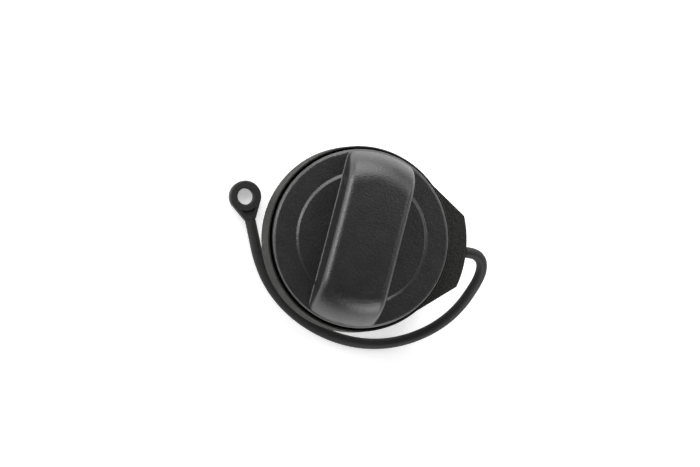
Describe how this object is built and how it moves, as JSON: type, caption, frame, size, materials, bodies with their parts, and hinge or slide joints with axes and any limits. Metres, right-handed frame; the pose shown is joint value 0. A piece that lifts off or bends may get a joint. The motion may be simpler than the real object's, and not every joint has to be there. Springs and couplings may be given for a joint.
{
  "type": "fuel cap",
  "caption": "Black plastic fuel filler cap with a broad grip bar, torque clutch, tank valves and a round moulded tether strap ending in an eyelet.",
  "frame": {"origin": "centre of the plug's flat end, which the cap stands on", "axes": "+Z along the cap's axis from the plug's end to the grip, +Y along the grip bar, tether lug near +X"},
  "size_m": [0.1141, 0.0846, 0.065],
  "materials": {
    "knob": "black satin moulding",
    "collar": "black fine-grained moulding",
    "strap": "black flexible moulding",
    "closure": "black acetal",
    "gasket": "black rubber",
    "clutch": "natural acetal",
    "valve": "natural acetal",
    "valve_seal": "black rubber",
    "spring": "spring steel"
  },
  "bodies": {
    "closure": {"closure_body": "closure", "neck_seal": "gasket", "ratchet_ring": "clutch", "spring_retainer": "valve", "splash_shield": "closure", "pressure_spring": "spring"},
    "knob": {"knob": "knob", "clutch_spring": "spring"},
    "clutch": {"clutch_ring": "clutch"},
    "tether": {"tether_collar": "collar", "tether_strap": "strap", "tether_eyelet": "strap"},
    "pressure_valve": {"pressure_valve_plate": "valve", "pressure_valve_seal": "valve_seal", "vacuum_spring": "spring"},
    "vacuum_valve": {"vacuum_poppet": "valve", "vacuum_seal": "valve_seal", "vacuum_push_nut": "spring"}
  },
  "joints": [
    {"name": "knob_turn", "type": "hinge", "parent": "closure", "child": "knob", "pos_m": [0, 0, 0.05], "axis": [0, 0, 1], "range_deg": [-28, 0]},
    {"name": "clutch_lift", "type": "slide", "parent": "knob", "child": "clutch", "axis": [0, 0, 1], "range_m": [0, 0.00206], "deforming": ["clutch_spring"]},
    {"name": "tether_turn", "type": "hinge", "parent": "closure", "child": "tether", "pos_m": [0, 0, 0.033], "axis": [0, 0, 1], "continuous": true},
    {"name": "pressure_lift", "type": "slide", "parent": "closure", "child": "pressure_valve", "axis": [0, 0, 1], "range_m": [0, 0.002], "stiffness_N_per_m": 400, "springref_m": -0.006, "deforming": ["pressure_spring"]},
    {"name": "vacuum_drop", "type": "slide", "parent": "pressure_valve", "child": "vacuum_valve", "axis": [0, 0, -1], "range_m": [0, 0.0012], "stiffness_N_per_m": 60, "springref_m": -0.002, "deforming": ["vacuum_spring"]}
  ],
  "couplings": [
    {"joint": "clutch_lift", "follows": "knob_turn", "m_per_rad": -0.0042017}
  ]
}
